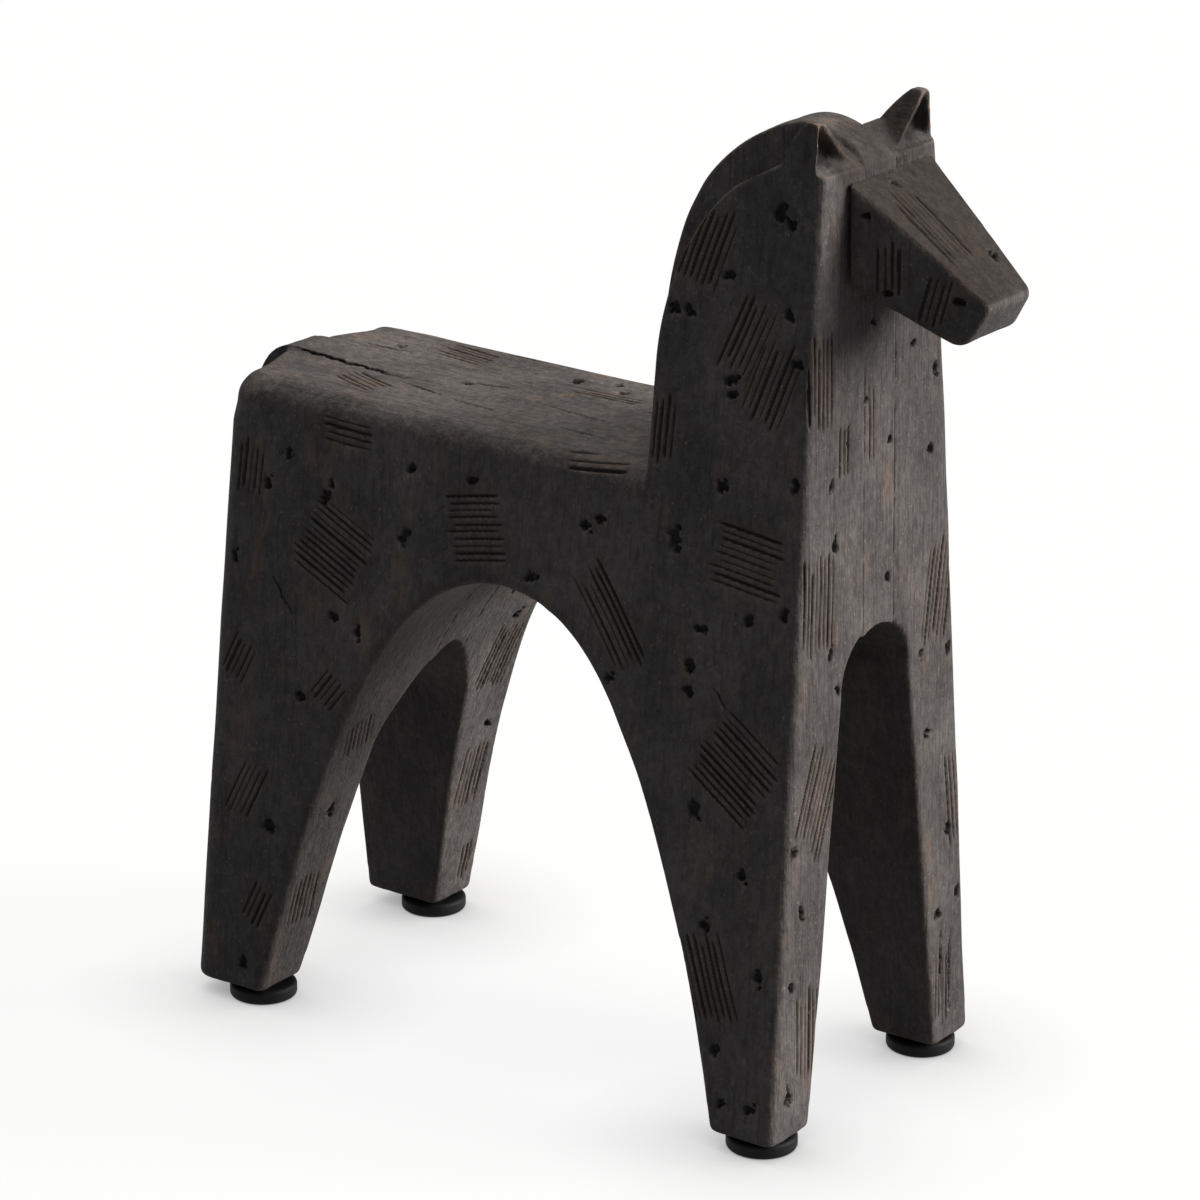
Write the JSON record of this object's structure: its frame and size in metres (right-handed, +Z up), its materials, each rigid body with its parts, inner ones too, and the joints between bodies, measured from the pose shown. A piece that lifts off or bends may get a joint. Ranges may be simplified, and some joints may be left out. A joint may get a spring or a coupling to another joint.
{
  "type": "horse ornament",
  "caption": "Blocky standing horse ornament in dark stained wood, with an arched belly, splayed legs, wedge muzzle, cupped ears, raised mane and rubber feet.",
  "frame": {"origin": "on the floor plane, under the middle of the box from tail to nose, in the middle plane", "axes": "+X towards the head, +Y to the horse's left, +Z up; the undersides of the rubber feet lie at Z = 0"},
  "size_m": [0.268, 0.1104, 0.3],
  "materials": {
    "stained_wood": "matt dark stain, tool-marked",
    "dowel_wood": "plain turned",
    "foot_rubber": "matt",
    "screw_steel": "zinc plated"
  },
  "bodies": {
    "root": {"right_side": "stained_wood", "left_side": "stained_wood", "core": "stained_wood", "muzzle": "stained_wood", "neck_dowel": "dowel_wood", "withers_dowel": "dowel_wood", "loin_dowel": "dowel_wood", "rump_dowel": "dowel_wood", "muzzle_dowel_upper": "dowel_wood", "muzzle_dowel_lower": "dowel_wood", "fore_right_pad": "foot_rubber", "fore_left_pad": "foot_rubber", "hind_right_pad": "foot_rubber", "hind_left_pad": "foot_rubber", "fore_right_screw": "screw_steel", "fore_left_screw": "screw_steel", "hind_right_screw": "screw_steel", "hind_left_screw": "screw_steel"}
  },
  "joints": []
}
